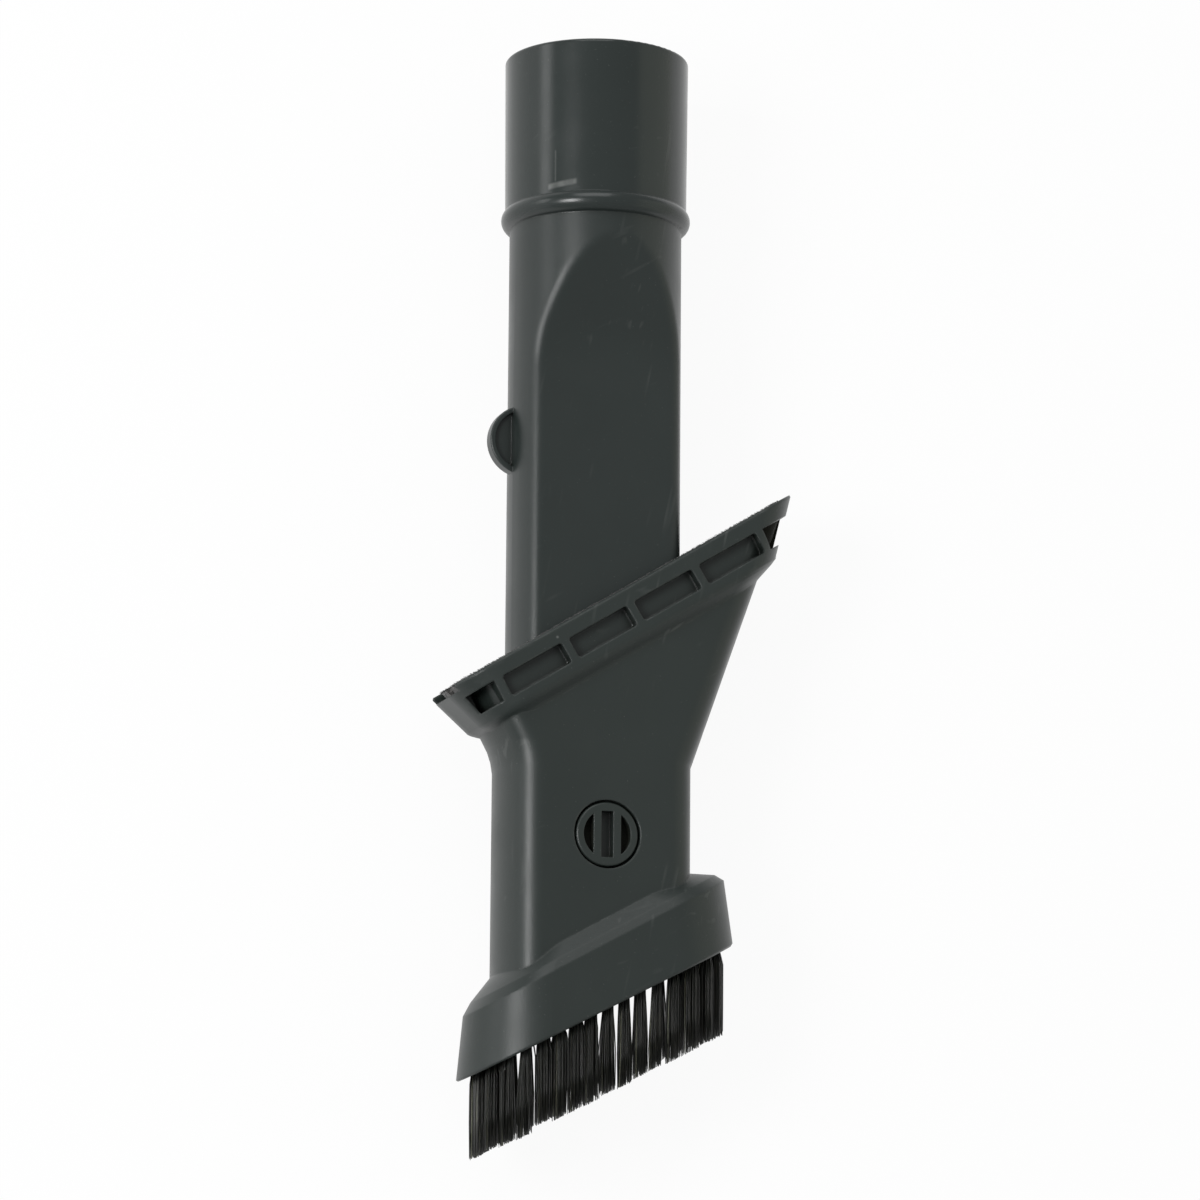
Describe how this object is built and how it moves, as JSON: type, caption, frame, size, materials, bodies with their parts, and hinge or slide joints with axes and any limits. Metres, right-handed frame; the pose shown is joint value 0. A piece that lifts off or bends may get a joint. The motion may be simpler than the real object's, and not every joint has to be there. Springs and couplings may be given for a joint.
{
  "type": "vacuum crevice tool",
  "caption": "Crevice tool for a vacuum hose with a slip-on head: bristle brush at one end, slanted upholstery mouth at the other, held by a press latch.",
  "frame": {"origin": "centre of the hose socket's open end", "axes": "+Y along the tube, out of the hose socket; +Z out of the front face with the latch button; +X towards the upper end of the slanted mouth. The tool lies on its back."},
  "size_m": [0.0695, 0.2208, 0.0376],
  "materials": {
    "tube_plastic": "satin to gloss dark grey moulded plastic with fine scuffs",
    "head_plastic": "satin dark grey moulded plastic",
    "button_plastic": "satin dark grey moulded plastic",
    "bristle": "near-black nylon filament",
    "lifter_pile": "dark slanted pile on a woven backing",
    "spring_steel": "bright spring steel"
  },
  "bodies": {
    "tool": {"bristle_tuft_01": "bristle", "bristle_tuft_02": "bristle", "bristle_tuft_03": "bristle", "bristle_tuft_04": "bristle", "bristle_tuft_05": "bristle", "bristle_tuft_06": "bristle", "bristle_tuft_07": "bristle", "bristle_tuft_08": "bristle", "bristle_tuft_09": "bristle", "bristle_tuft_10": "bristle", "bristle_tuft_11": "bristle", "bristle_tuft_12": "bristle", "bristle_tuft_13": "bristle", "bristle_tuft_14": "bristle", "bristle_tuft_15": "bristle", "bristle_tuft_16": "bristle", "bristle_tuft_17": "bristle", "bristle_tuft_18": "bristle", "bristle_tuft_19": "bristle", "bristle_tuft_20": "bristle", "bristle_tuft_21": "bristle", "bristle_tuft_22": "bristle", "bristle_tuft_23": "bristle", "bristle_tuft_24": "bristle", "bristle_tuft_25": "bristle", "bristle_tuft_26": "bristle", "bristle_tuft_27": "bristle", "bristle_tuft_28": "bristle", "bristle_tuft_29": "bristle", "bristle_tuft_30": "bristle", "bristle_tuft_31": "bristle", "bristle_tuft_32": "bristle", "bristle_tuft_33": "bristle", "bristle_tuft_34": "bristle", "crevice_tube": "tube_plastic", "head_shell": "head_plastic", "latch_spring": "spring_steel", "thread_lifter_front": "lifter_pile", "thread_lifter_rear": "lifter_pile"},
    "latch": {"latch_button": "button_plastic"}
  },
  "joints": [
    {"name": "latch_press", "type": "slide", "parent": "tool", "child": "latch", "axis": [0, 0, -1], "range_m": [0, 0.0026], "stiffness_N_per_m": 1500, "springref_m": -0.002, "deforming": ["latch_spring"]}
  ]
}
